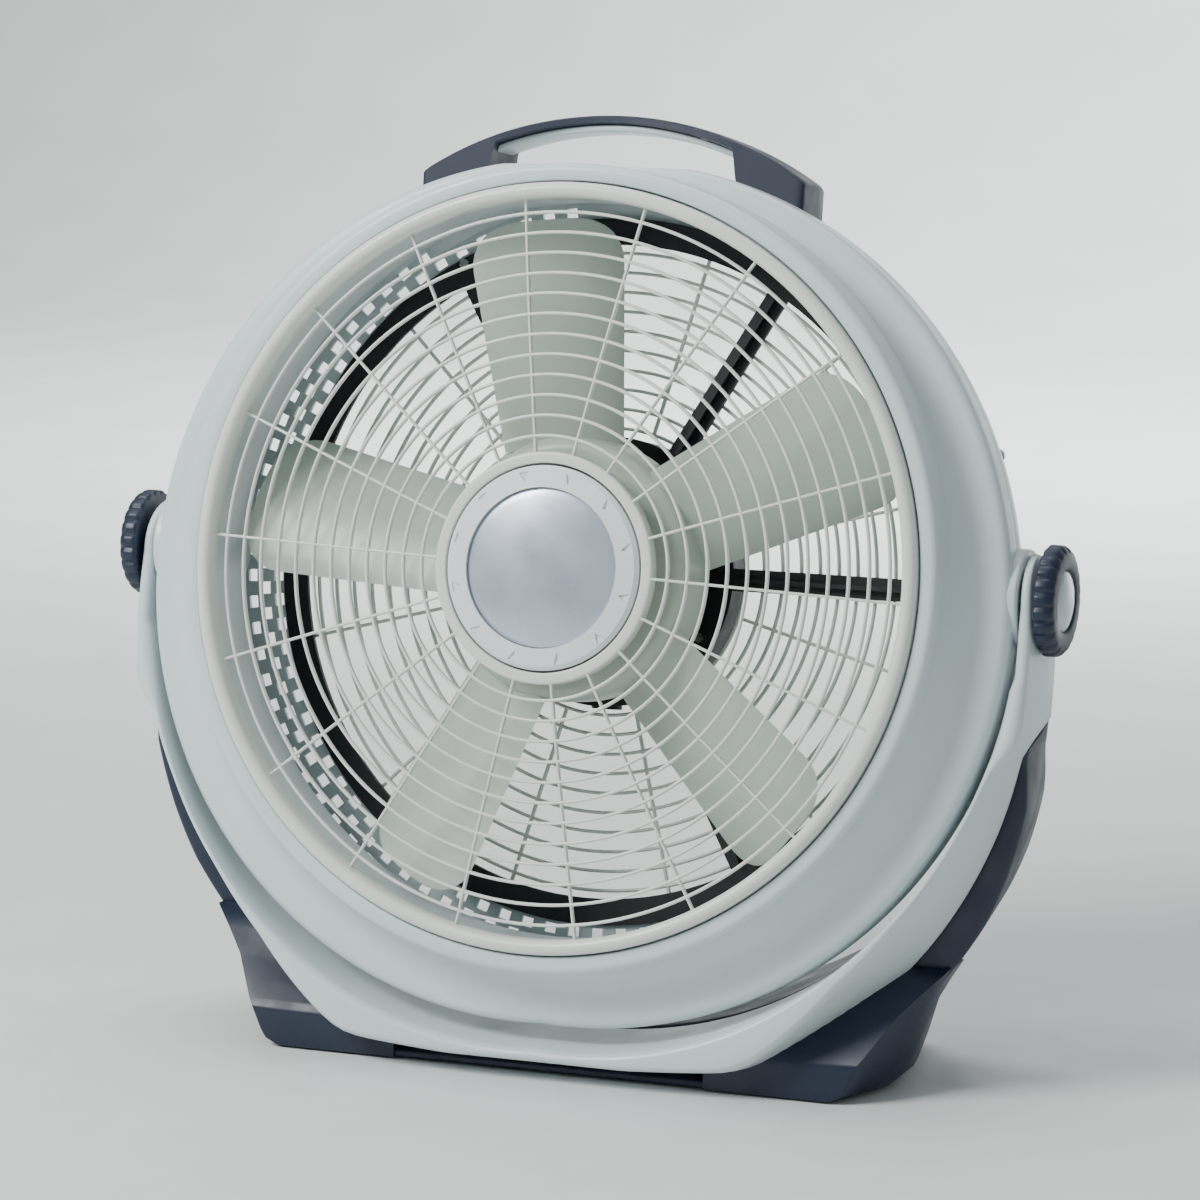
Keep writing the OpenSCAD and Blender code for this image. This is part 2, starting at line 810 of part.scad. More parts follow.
// Side views of the shells, drawn as (forward, up); t is the distance in from the surface.
module front_side(t) {
    polygon(concat(
        arc(0, 0, arm_half - t, 0, 180, 16),
        [[t - arm_half - 2, tip_up], [seam_z - (t > 0 ? over : 0), tip_end],
         [seam_z - (t > 0 ? over : 0), sole_up + t], [front_z - 6 - t, sole_up + t],
         [front_z - t, sole_up + 8]]));
}

module rear_side(t) {
    open = t > 0 ? over : 0;
    polygon([[-arm_half - 2 + t / 2, tip_up - shell_gap - t],
        [seam_z - shell_gap + open, tip_end - 2 * t],
        [seam_z - shell_gap + open, plate_up + t], [back_edge + t, plate_up + t],
        [back_edge + t, plate_up + 12]]);
}

module front_cone(t) {
    translate([0, front_mid, seam_z]) cylinder(h = front_z - seam_z + over,
        r1 = front_r_seam - t, r2 = front_r_front - t, $fn = 180);
}

module front_round(t) {
    front_cone(t);
    translate([0, front_mid, -60])
        cylinder(h = 60.01 + seam_z, r = front_r_seam - t, $fn = 180);
}

module rear_round(t) {
    translate([0, rear_mid, back_edge]) cylinder(h = seam_z - back_edge + over,
        r1 = rear_r_back - t, r2 = rear_r_seam - t, $fn = 180);
}

module drum_space(t) {
    outline_pair() translate([0, 0, -far / 2])
        cylinder(h = far, r = ridge_r + drum_gap + t, $fn = 180);
    translate([-arm_in - t, -45, -60]) cube([2 * (arm_in + t), 120, 120]);
}

module front_blank(t) {
    difference() {
        intersection() {
            across(arm_out - t) front_side(t);
            front_round(t);
        }
        drum_space(t);
    }
}

module rear_band(t) {
    difference() {
        intersection() {
            across(arm_out - t) rear_side(t);
            rear_round(t);
        }
        drum_space(t);
    }
}

// A foot is a block in the lower corner, its outer side leaning out a little.
module rear_foot(side, t) {
    foot_front = 64;
    foot_in_x = 96;
    translate([0, 0, back_edge + t])
        linear_extrude(foot_front - back_edge - 2 * t) polygon([
            [side * (foot_in_x + t), plate_up + t],
            [side * (foot_out - 4 - t), plate_up + t],
            [side * (foot_out - t), plate_up + 5],
            [side * (foot_out - t), plate_up + foot_h - t],
            [side * (foot_in_x + t), plate_up + foot_h - t]]);
}

module cradle_screw_places() {
    for (side = [-1, 1], a = cradle_screw_angles)
        translate([side * cradle_screw_r * cos(a), -cradle_screw_r * sin(a), 0]) children();
}

module cradle_front() {
    color(light_gray) base_frame() difference() {
        union() {
            difference() {
                front_blank(0);
                front_blank(cradle_wall);
            }
            intersection() {
                front_blank(0);
                union() {
                    for (side = [-1, 1]) sideways(side)
                        translate([0, 0, 250]) cylinder(h = 40, r = 13);
                    cradle_screw_places() translate([0, 0, seam_z]) cylinder(h = 22, r = 6);
                }
            }
        }
        for (side = [-1, 1]) sideways(side)
            translate([0, 0, 250]) cylinder(h = 40, r = stud_r + run_gap);
        cradle_screw_places() translate([0, 0, seam_z - over])
            cylinder(h = 18, r = 2 + screw_gap);
    }
}

module cradle_rear() {
    color(navy) base_frame() difference() {
        union() {
            difference() {
                union() {
                    rear_band(0);
                    difference() {
                        for (side = [-1, 1]) rear_foot(side, 0);
                        translate([0, 0, -shell_gap]) front_cone(-shell_gap);
                        drum_space(0);
                    }
                }
                rear_band(cradle_wall);
                difference() {
                    for (side = [-1, 1]) rear_foot(side, cradle_wall);
                    translate([0, 0, -shell_gap - cradle_wall])
                        front_cone(-shell_gap - cradle_wall);
                    drum_space(cradle_wall);
                }
            }
            translate([-110, plate_up, seam_z - over]) cube([220, 4, 64 - seam_z]);
            intersection() {
                rear_band(0);
                cradle_screw_places() translate([0, 0, -42])
                    cylinder(h = 42 + seam_z - shell_gap, r = 6);
            }
        }
        cradle_screw_places() {
            translate([0, 0, -50]) cylinder(h = 60, r = 2 + screw_gap);
            translate([0, 0, -120]) cylinder(h = 86, r = 4.2);
        }
        foot_pad_places() translate([0, -over, 0]) rotate([-90, 0, 0])
            cylinder(h = 1.5 + over, r = pad_r + 0.1);
    }
}

module cradle_screws() {
    color(steel) base_frame() cradle_screw_places() {
        translate([0, 0, -38]) cylinder(h = 3.9, r = 3.8);
        translate([0, 0, -35]) cylinder(h = 42, r = 2);
    }
}

pad_r = 9;

module foot_pad_places() {
    for (at = [[-155, -70], [155, -70], [-155, 46], [155, 46], [0, 4]])
        translate([at[0], plate_up, at[1]]) children();
}

module foot_pads() {
    color("#26292c") base_frame() foot_pad_places() translate([0, -1.5, 0])
        rotate([-90, 0, 0]) cylinder(h = 2.9, r = pad_r);
}

front_housing();
rear_housing();
front_grille();
badge_ring();
badge_disc();
rear_grille();
motor_mount();
rear_cover();
motor_front_bell();
motor_rear_bell();
motor_stator();
motor_windings();
motor_bearings();
motor_rotor_core();
motor_shaft();
impeller();
spinner_nut();
capacitor();
speed_switch();
speed_knob();
cord_gland();
handle();
handle_liner();
handle_screws();
housing_screws();
grille_screws();
mount_screws();
motor_screws();
cover_screws();
pivot_inserts();
pivot_washers();
left_knob();
left_knob_cap();
left_knob_stud();
right_knob();
right_knob_cap();
right_knob_stud();
cradle_front();
cradle_rear();
cradle_screws();
foot_pads();
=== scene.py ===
from math import asin, cos, exp, log, pi, radians, sin, sqrt

import bmesh
import bpy
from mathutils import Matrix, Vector


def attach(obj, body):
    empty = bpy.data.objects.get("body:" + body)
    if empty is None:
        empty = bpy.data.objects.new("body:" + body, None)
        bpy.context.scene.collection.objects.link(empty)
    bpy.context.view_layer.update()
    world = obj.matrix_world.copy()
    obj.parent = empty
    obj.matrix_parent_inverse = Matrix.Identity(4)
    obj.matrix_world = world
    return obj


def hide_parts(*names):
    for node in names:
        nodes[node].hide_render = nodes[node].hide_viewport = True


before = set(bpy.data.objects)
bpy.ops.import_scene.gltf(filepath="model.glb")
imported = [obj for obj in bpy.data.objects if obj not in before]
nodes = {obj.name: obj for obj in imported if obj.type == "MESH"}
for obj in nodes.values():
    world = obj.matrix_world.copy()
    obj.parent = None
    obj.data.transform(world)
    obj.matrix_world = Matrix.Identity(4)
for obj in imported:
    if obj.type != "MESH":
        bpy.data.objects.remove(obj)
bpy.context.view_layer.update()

# Sizes in millimetres, as in the design.
MM = 0.001
PIVOT = 285.0        # height of the tilt axis
TILT = radians(10)   # the head's tilt at rest
AHEAD = 12.0         # seam of the drum's shells, ahead of the tilt axis
R = 248.5            # radius of the two rounds of the drum's outline
SIDE = 15.0          # their middles stand this far to each side of the fan's axis
DROP = 13.0          # and this far below it
SHELF = 231.5        # height of the flat on top of the drum, above the fan's axis
THROAT = 211.5       # radius of the opening
BEZEL_IN = 220.3     # inner radius of the bezel
NECK = 230.5         # outer radius of the bezel
BEZEL_Z = 49.0       # front of the bezel
LEDGE_Z = 42.0       # seat of the grille inside the bezel
FLANGE_Z = 17.5      # front of the ridge round the drum
RIDGE_IN = 10.0      # the ridge's flat begins this far inside the outline
RIDGE_ROUND = 6.0    # rounding of the ridge's rim
FILLET = 26.0        # hollow curve between neck and ridge
SHELL_T = 2.5        # wall of the drum's shells
BACK_Z = -48.0       # back of the drum
BACK_EDGE = 22.0     # the flat back ends this far inside the outline
BACK_ROUND = 56.0    # curve of the drum's side towards the back
BACK_ROUND_Z = -1.0  # where that curve begins
BACK_KNEE = radians(46)    # how far the curve turns before it runs straight to the back
RISE = 12.0          # how far the front grille bulges
BOSS_OUT = 266.0     # outer ends of the drum's pivot bosses
KNOB_IN = 276.3      # inner faces of the side knobs
TURN = 2 * pi


# ---------- places ----------
def head(x, up, z):
    """A point of the drum, z forward of the seam, to the row frame in metres."""
    z += AHEAD
    return Vector((x, up * sin(TILT) - z * cos(TILT),
                   PIVOT + z * sin(TILT) + up * cos(TILT))) * MM


def base(x, up, z):
    """A point of the cradle, measured from the tilt axis, to the row frame in metres."""
    return Vector((x, -z, PIVOT + up)) * MM


def beside(side):
    """Frame for things turned about the tilt axis: the third value runs outwards."""
    return lambda a, b, out: head(side * out, b, a - AHEAD)


# ---------- mesh helpers ----------
def loft(rings, closed=True, caps=False):
    """Skin over rings of equally many points."""
    n = len(rings[0])
    m = len(rings)
    verts = [p for ring in rings for p in ring]
    faces = []
    for i in range(m if closed else m - 1):
        j = (i + 1) % m
        for k in range(n):
            next_k = (k + 1) % n
            faces.append((i * n + k, i * n + next_k, j * n + next_k, j * n + k))
    if caps:
        faces += [tuple(range(n - 1, -1, -1)), tuple(range((m - 1) * n, m * n))]
    return verts, faces


def revolve(profile, steps=160):
    """Closed outline of (radius, z) points turned about the z axis."""
    return loft([[(r * cos(a), r * sin(a), z) for r, z in profile]
                 for a in (TURN * i / steps for i in range(steps))])


def arc(cx, cy, r, start, end, steps=8):
    """Points on a round from one angle to the other, in degrees."""
    angles = [radians(start + (end - start) * i / steps) for i in range(steps + 1)]
    return [(cx + r * cos(a), cy + r * sin(a)) for a in angles]


def rounded(w, h, r, steps=5):
    """Rounded rectangle about the origin, counter-clockwise."""
    r = min(r, 0.499 * w, 0.499 * h)
    out = []
    for sx, sy, start in ((1, -1, -90), (1, 1, 0), (-1, 1, 90), (-1, -1, 180)):
        out += arc(sx * (w / 2 - r), sy * (h / 2 - r), r, start, start + 90, steps)
    return out


def build(name, parts, material, body, place=head, sharp=35, stands_for=()):
    """One visible piece from several skins, riding its body in place of CAD nodes."""
    mesh = bpy.data.meshes.new(name)
    verts = []
    faces = []
    for some, skin in parts:
        start = len(verts)
        verts += [place(*p) for p in some]
        faces += [[i + start for i in face] for face in skin]
    mesh.from_pydata(verts, [], faces)
    bm = bmesh.new()
    bm.from_mesh(mesh)
    bmesh.ops.remove_doubles(bm, verts=bm.verts, dist=2e-6)
    bmesh.ops.dissolve_degenerate(bm, edges=bm.edges, dist=1e-6)
    bmesh.ops.recalc_face_normals(bm, faces=bm.faces)
    bm.to_mesh(mesh)
    bm.free()
    mesh.shade_smooth()
    mesh.set_sharp_from_angle(angle=radians(sharp))
    mesh.materials.append(material)
    piece = bpy.data.objects.new(name, mesh)
    bpy.context.scene.collection.objects.link(piece)
    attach(piece, body)
    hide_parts(*stands_for)


# ---------- materials ----------
def finish_of(name, color, rough, vary=0.04, grain=900.0, bump=0.04, metal=0.0, coat=0.0,
              stretch=(1, 1, 1)):
    """Moulded or metal finish: slight colour and gloss drift, and a fine grain."""
    mat = bpy.data.materials.new(name)
    mat.use_nodes = True
    tree = mat.node_tree
    shader = tree.nodes["Principled BSDF"]
    coord = tree.nodes.new("ShaderNodeTexCoord")
    mapping = tree.nodes.new("ShaderNodeMapping")
    mapping.inputs["Scale"].default_value = stretch
    tree.links.new(coord.outputs["Object"], mapping.inputs["Vector"])

    def noise(scale, detail=3.0):
        node = tree.nodes.new("ShaderNodeTexNoise")
        node.inputs["Scale"].default_value = scale
        node.inputs["Detail"].default_value = detail
        tree.links.new(mapping.outputs["Vector"], node.inputs["Vector"])
        return node

    def ramp(source, low, high):
        node = tree.nodes.new("ShaderNodeValToRGB")
        node.color_ramp.elements[0].position = 0.35
        node.color_ramp.elements[1].position = 0.65
        node.color_ramp.elements[0].color = low
        node.color_ramp.elements[1].color = high
        tree.links.new(source.outputs["Fac"], node.inputs["Fac"])
        return node

    drift = noise(7.0, 4.0)
    low = [c * (1 - vary) for c in color] + [1]
    high = [min(1, c * (1 + vary)) for c in color] + [1]
    tint = ramp(drift, low, high)
    tree.links.new(tint.outputs["Color"], shader.inputs["Base Color"])
    gloss = ramp(noise(38.0, 5.0), [rough * 0.82] * 3 + [1], [rough * 1.18] * 3 + [1])
    tree.links.new(gloss.outputs["Color"], shader.inputs["Roughness"])
    relief = tree.nodes.new("ShaderNodeBump")
    relief.inputs["Strength"].default_value = bump
    relief.inputs["Distance"].default_value = 0.0004
    tree.links.new(noise(grain, 2.0).outputs["Fac"], relief.inputs["Height"])
    tree.links.new(relief.outputs["Normal"], shader.inputs["Normal"])
    shader.inputs["Metallic"].default_value = metal
    shader.inputs["Coat Weight"].default_value = coat
    shader.inputs["Coat Roughness"].default_value = 0.12
    return mat


shell_mat = finish_of("light_shell", (0.60, 0.685, 0.70), 0.36, vary=0.025, coat=0.1)
navy_mat = finish_of("navy_plastic", (0.005, 0.013, 0.034), 0.46, vary=0.12)
grille_mat = finish_of("grille_plastic", (0.70, 0.73, 0.68), 0.34, vary=0.03, coat=0.1)
blade_mat = finish_of("blade_plastic", (0.50, 0.57, 0.50), 0.36, vary=0.04, coat=0.08)
black_mat = finish_of("black_plastic", (0.008, 0.009, 0.011), 0.5, vary=0.2, bump=0.12)
silver_mat = finish_of("silver_trim", (0.50, 0.56, 0.65), 0.3, vary=0.03, metal=0.55, coat=0.25)
white_mat = finish_of("white_trim", (0.74, 0.78, 0.80), 0.32, vary=0.02, coat=0.12)
steel_mat = finish_of("steel", (0.55, 0.56, 0.58), 0.3, metal=1.0, grain=300.0, stretch=(1, 1, 6))
case_mat = finish_of("motor_case", (0.38, 0.39, 0.41), 0.5, metal=0.8, bump=0.25, grain=450.0)
stack_mat = finish_of("laminations", (0.16, 0.14, 0.12), 0.55, metal=0.5, stretch=(1, 30, 1))
copper_mat = finish_of("copper", (0.55, 0.22, 0.07), 0.3, metal=0.9, bump=0.3, grain=260.0)
bronze_mat = finish_of("bronze", (0.48, 0.33, 0.14), 0.38, metal=1.0, bump=0.1)
rubber_mat = finish_of("rubber", (0.015, 0.016, 0.018), 0.75, vary=0.15, bump=0.3)


# ---------- drum ----------
def reach(a, r):
    """Distance from the fan's axis, at angle a, to the outline whose rounds have radius r."""
    k = SIDE * sin(a) + DROP * abs(cos(a))
    return SIDE * abs(cos(a)) - DROP * sin(a) + sqrt(r * r - k * k)


def inward(a, r):
    """Radius, in the outline's own rounds, of the point at angle a and radius r."""
    return sqrt((r * abs(cos(a)) - SIDE) ** 2 + (r * sin(a) + DROP) ** 2)


def under_shelf(a, r, drop=0.0):
    """Radius r at angle a, cut off at the shelf or at a drop below it."""
    return min(r, (SHELF - drop) / sin(a)) if sin(a) > 0.2 else r


def ridge_z(rho):
    """Height of the front shell's surface outside the neck, at radius rho of the rounds."""
    if rho < R - RIDGE_IN:
        return FLANGE_Z + FILLET - sqrt(max(FILLET ** 2 - (R - RIDGE_IN - rho) ** 2, 0))
    if rho < R - RIDGE_ROUND:
        return FLANGE_Z
    into = rho - R + RIDGE_ROUND
    return FLANGE_Z - RIDGE_ROUND + sqrt(max(RIDGE_ROUND ** 2 - into ** 2, 0))


def front_ring(a):
    """Section of the front shell at angle a: throat, ledge, bezel, neck, ridge, inside."""
    rim = 4.6
    start = inward(a, NECK)
    ring = [(THROAT, 0.6), (THROAT, 14), (THROAT, 28), (THROAT, LEDGE_Z - 0.8),
            (THROAT + 0.8, LEDGE_Z), (BEZEL_IN - 0.7, LEDGE_Z), (BEZEL_IN, LEDGE_Z + 0.7),
            (BEZEL_IN, BEZEL_Z - 1.2), (BEZEL_IN + 0.4, BEZEL_Z - 0.4),
            (BEZEL_IN + 1.3, BEZEL_Z), (224, BEZEL_Z)]
    ring += arc(NECK - rim, BEZEL_Z - rim, rim, 90, 0, 7)
    foot = ridge_z(start) + 0.6
    ring += [(NECK, foot + (BEZEL_Z - rim - foot) * k) for k in (0.7, 0.4, 0.15)]
    first = max(R - RIDGE_IN, start + 0.4)
    for i in range(11):
        rho = start + (first - start) * sin(pi / 2 * i / 10)
        ring.append((under_shelf(a, reach(a, rho)), ridge_z(rho)))
    for i in range(1, 9):
        rho = max(first + 0.1, R - RIDGE_ROUND + RIDGE_ROUND * sin(pi / 2 * i / 8))
        ring.append((under_shelf(a, reach(a, rho)), ridge_z(rho)))
    for z in (8, 4, 1.1):
        ring.append((under_shelf(a, reach(a, R)), z))
    ring.append((under_shelf(a, reach(a, R - 0.4), 0.4), 0.5))
    ring.append((under_shelf(a, reach(a, R - 0.9), 0.9), 0.3))
    inner = under_shelf(a, reach(a, R - SHELL_T), SHELL_T)
    ring += [(inner, 0.3), (inner, 9), (min(inner, 229), 13.5), (THROAT + 3, 36),
             (THROAT + SHELL_T, 0.4), (THROAT + 0.6, 0.2)]
    return [(r * cos(a), r * sin(a), z) for r, z in ring]


def pivot_boss(side):
    """Round boss where the drum meets the arm, with a recessed face."""
    rim = 1.8
    dish = BOSS_OUT - 0.8
    profile = ([(0, 228), (28.6, 228), (28.3, 258), (28, 263)]
               + arc(28 - rim, BOSS_OUT - rim, rim, 0, 90, 4)
               + [(22, BOSS_OUT), (20.6, dish), (15, dish), (14, BOSS_OUT - 0.1), (0, BOSS_OUT - 0.1)])
    verts, faces = revolve(profile, 96)
    return [(side * w, b, a - AHEAD) for a, b, w in verts], faces


def around(steps):
    """Angles of a full turn."""
    return [TURN * i / steps for i in range(steps)]


front = [loft([front_ring(a) for a in around(288)])]
build("front_shell", front, shell_mat, "head", stands_for=["front_housing"])


def back_z(rho, t):
    """Height of the rear shell's surface, t in from the outside, at radius rho."""
    mid = R - BACK_ROUND
    knee = mid + (BACK_ROUND - t) * cos(BACK_KNEE)
    edge = R - BACK_EDGE - t / 2
    if rho <= edge:
        return BACK_Z + t
    knee_z = BACK_ROUND_Z - (BACK_ROUND - t) * sin(BACK_KNEE)
    if rho < knee:
        k = max(0.0, (rho - edge) / (knee - edge))
        return BACK_Z + t + (knee_z - BACK_Z - t) * k
    return BACK_ROUND_Z - sqrt(max((BACK_ROUND - t) ** 2 - (rho - mid) ** 2, 0.02))


def plate_ring(a, r1, r2, slack=0.0):
    """Section at angle a of a strip of the back, from radius r1 to r2, thinner by the slack."""
    points = []
    for r, depth in ((r1, 0), (r2, 0), (r2, SHELL_T), (r1, SHELL_T)):
        r = under_shelf(a, r, 0.3 + depth)
        rho = min(inward(a, r), R - 0.6 - depth)
        z = back_z(rho, depth) + (slack if depth == 0 else -slack)
        points.append((r * cos(a), r * sin(a), z))
    return points


def rear_ring(a):
    """Section at angle a of the rear shell outside its air slots."""
    low = min(inward(a, 231.0), R - 3.4)
    ring = []
    for depth, order in ((0.0, range(17)), (SHELL_T, range(16, -1, -1))):
        for i in order:
            rho = low + (R - depth - 0.15 - low) * sin(pi / 2 * i / 16)
            ring.append((under_shelf(a, reach(a, rho), depth), min(back_z(rho, depth), -0.3)))
    top = ring[:17] + [(ring[16][0] - 0.5, -0.1)] + ring[17:]
    return [(r * cos(a), r * sin(a), z) for r, z in top]


SLOTS = 90           # air slots in a row
FIRST_ROW = 211.5    # radius of the first of three rows
ROW_PITCH = 8.5
SLOT_WIDE = 7.2

rear = [loft([rear_ring(a) for a in around(288)])]
for low, high in ((200.0, 208.6), (214.4, 217.1), (222.9, 225.6)):
    rear.append(loft([plate_ring(a, low, high) for a in around(288)]))
for row in range(3):
    mid = FIRST_ROW + ROW_PITCH * row
    half_slot = SLOT_WIDE / 2 / mid
    for i in range(SLOTS):
        a = (i + row / 2) * TURN / SLOTS
        open_here = mid + 3.9 < reach(a, R - BACK_EDGE)
        ends = ((a + half_slot, a + TURN / SLOTS - half_slot) if open_here
                else (a - half_slot - 0.001, a + TURN / SLOTS - half_slot + 0.001))
        steps = 2 if open_here else 5
        rings = [plate_ring(ends[0] + (ends[1] - ends[0]) * k / steps, mid - 3.0, mid + 3.0, 0.05)
                 for k in range(steps + 1)]
        rear.append(loft(rings, closed=False, caps=True))
rear += [pivot_boss(-1), pivot_boss(1)]
build("rear_shell", rear, shell_mat, "head", stands_for=["rear_housing"])


# ---------- front grille ----------
RING_FIRST = 75.0    # radius of the grille's innermost ring
RING_PITCH = 127.5 / 11


def grille_z(r):
    """Top of the front grille's rings."""
    return BEZEL_Z - 2 + RISE * (1 - (r / THROAT) ** 2)


def wire_ring(r, wide, deep, z_top, steps=180):
    """Ring of a grille, with soft edges."""
    section = rounded(wide, deep, 0.9, 3)
    return loft([[((r + u) * cos(a), (r + u) * sin(a), z_top - deep / 2 + v) for u, v in section]
                 for a in around(steps)])


def rib(a, r1, r2, wide, deep, height, steps=14):
    """Rib of a grille at angle a, whose top follows height(r)."""
    section = rounded(wide, deep, 0.7, 3)
    rings = []
    for i in range(steps + 1):
        r = r1 + (r2 - r1) * i / steps
        z = height(r) - deep / 2
        rings.append([(r * cos(a) - u * sin(a), r * sin(a) + u * cos(a), z + v)
                      for u, v in section])
    return loft(rings, closed=False, caps=True)


grille = [revolve([(210.4, LEDGE_Z + 0.4)] + arc(215, BEZEL_Z + 1, 4.3, 176, 0, 14)
                  + [(219.3, LEDGE_Z + 0.4), (218.6, LEDGE_Z + 0.2), (211.2, LEDGE_Z + 0.2)])]
for i in range(12):
    radius = RING_FIRST + i * RING_PITCH
    grille.append(wire_ring(radius, 1.9, 3.0, grille_z(radius)))
for i in range(18):
    grille.append(rib(radians(-2 + 20 * i), 62, 212.4, 1.6, 3.0, lambda r: grille_z(r) - 0.35))
grille.append(revolve([(0, 50.1), (59.2, 50.1), (59.4, 57.4)] + arc(60.4, 57, 1.0, 180, 90, 3)
                      + arc(64.4, 56.4, 1.6, 90, 0, 4) + [(66.3, 51), (65.2, 49.4), (0, 49.4)], 128))
build("grille_front", grille, grille_mat, "head", sharp=40, stands_for=["front_grille"])

dome_r = 230.0
disc = [revolve([(0, 52.2), (45.0, 52.2), (45.3, 57.6)] + arc(44.5, 58.3, 0.8, 0, 70, 3)
                + [(r, 63.6 - dome_r + sqrt(dome_r ** 2 - r * r))
                   for r in (43.5, 40, 34, 27, 20, 13, 6, 0)], 128)]
build("badge_face", disc, silver_mat, "head", sharp=50, stands_for=["badge_disc"])


# ---------- impeller ----------
def blade(start):
    """One blade: a hollow-curved section, less pitched and rounded off towards its tip."""
    mid_z = 8.0
    camber = 130.0
    half_angle = asin(54 / camber)
    sag = camber * (1 + cos(half_angle)) / 2
    rings = []
    stations = [70 + 122 * i / 21 for i in range(22)]
    stations += [193 + 9 * sin(pi / 2 * i / 7) for i in range(8)]
    for r in sorted(stations):
        w = 30 + 11 * min(1, (r - 70) / 125)
        if r > 176:
            w -= 26 - sqrt(max(26 ** 2 - (r - 176) ** 2, 0.5))
        pitch = radians(30 - 5 * (r - 70) / 137)
        ring = []
        for side, order in ((1, range(13)), (-1, range(12, -1, -1))):
            for k in order:
                c = -cos(pi * k / 12)
                s = w * c / cos(pitch)
                n = sqrt(camber ** 2 - s * s) - sag
                full = sqrt(max(1 - c * c, 0))
                n += side * 1.2 * full * (0.55 + 0.45 * full)
                ring.append((s * cos(pitch) - n * sin(pitch),
                             s * sin(pitch) + n * cos(pitch) + mid_z, r))
        rings.append([(q * cos(start) - p * sin(start), q * sin(start) + p * cos(start), z)
                      for p, z, q in ring])
    return loft(rings, closed=False, caps=True)


impeller = [blade(radians(27 + 72 * i)) for i in range(5)]
impeller.append(revolve([(0, 25.5), (66, 25.5)] + arc(68, 20, 5.5, 90, 0, 5)
                        + [(73.5, -7.4), (74, -8), (75.4, -8), (76, -7.4)] + arc(68, 20, 8, 0, 90, 9)
                        + [(40, 28), (38, 27.2), (30, 27.2), (28, 28), (0, 28)], 144))
build("blades_and_hub", impeller, blade_mat, "rotor", sharp=40, stands_for=["impeller"])


# ---------- rear grille ----------
rear_guard = []
for i in range(11):
    rear_guard.append(wire_ring(84 + i * 11.4, 2.0, 3.0, BACK_Z - 0.2, 144))
rear_guard += [rib(radians(15 + 30 * i), 84, 200, 2.0, 2.8, lambda r: BACK_Z - 0.3) for i in range(12)]
rear_guard.append(revolve([(197, -50.7), (197, -48.6), (197.4, -48.2), (204.6, -48.2), (205, -48.6),
                           (205, -50.4), (204, -51.2), (198, -51.2)], 180))
build("grille_rear", rear_guard, grille_mat, "head", sharp=40, stands_for=["rear_grille"])


# ---------- handle ----------
ARCH_R = 215.0            # outer radius of the strap
ARCH_MID = 264 - ARCH_R   # height of its middle
STRAP_T = 5.5
FOOT_IN = 76.0            # where the handle's feet begin
HANDLE_FRONT = -9
HANDLE_BACK = -47


def drum_top(x, z):
    """Height of the drum under the handle."""
    rho = R - BACK_ROUND + sqrt(BACK_ROUND ** 2 - (min(z, BACK_ROUND_Z) - BACK_ROUND_Z) ** 2)
    return min(SHELF, sqrt(rho ** 2 - (abs(x) - SIDE) ** 2) - DROP)


def strap_ring(x):
    """Section of the strap at x: narrower in the middle, and down to the drum in the feet."""
    waist = 4 * (1 + cos(pi * min(abs(x), FOOT_IN) / FOOT_IN)) / 2
    z1 = HANDLE_FRONT - waist
    z2 = HANDLE_BACK + waist
    top = ARCH_MID + sqrt(ARCH_R ** 2 - x * x)
    under = ARCH_MID + sqrt((ARCH_R - STRAP_T) ** 2 - x * x)
    k = min(max((abs(x) - FOOT_IN + 3) / 4.5, 0), 1)
    k = k * k * (3 - 2 * k)
    ring = []
    for i in range(15):
        q = i / 14
        z = z1 + (z2 - z1) * q
        ring.append((x, top - 1.6 * (2 * q - 1) ** 8, z))
    for i in range(14, -1, -1):
        q = i / 14
        z = z1 + (z2 - z1) * q
        low = under + 0.9 * (2 * q - 1) ** 8
        ring.append((x, low * (1 - k) + (drum_top(x, z) - 1.0) * k, z))
    return ring


# How far the strap's section is drawn in at each place near its two ends.
end_rounding = {118: 1.4, 117.6: 0.7, 116.5: 0.2}
stations = [-x for x in end_rounding] + [-114 + 2 * i for i in range(17)]
stations += [-80 + 0.75 * i for i in range(13)] + [-68 + 4 * i for i in range(17)]
stations += [-x for x in stations]
stations = sorted(set(round(x, 3) for x in stations))
strap = []
for x in stations:
    ring = strap_ring(x)
    shrink = end_rounding.get(abs(x), 0)
    strap.append([(px, py - (shrink if i < 15 else 0),
                   pz + (shrink if pz < -28 else -shrink)) for i, (px, py, pz) in enumerate(ring)])
build("handle_strap", [loft(strap, closed=False, caps=True)], navy_mat, "head", sharp=38,
      stands_for=["handle"])

liner = []
for i in range(61):
    x = -75.2 + 150.4 * i / 60
    r_mid = ARCH_R - STRAP_T - 2.05
    slope = asin(x / r_mid)
    liner.append([((r_mid + u) * sin(slope), ARCH_MID + (r_mid + u) * cos(slope), -28 + v)
                  for u, v in rounded(3.9, 24, 1.4, 4)])
build("handle_pad", [loft(liner, closed=False, caps=True)], shell_mat, "head", stands_for=["handle_liner"])


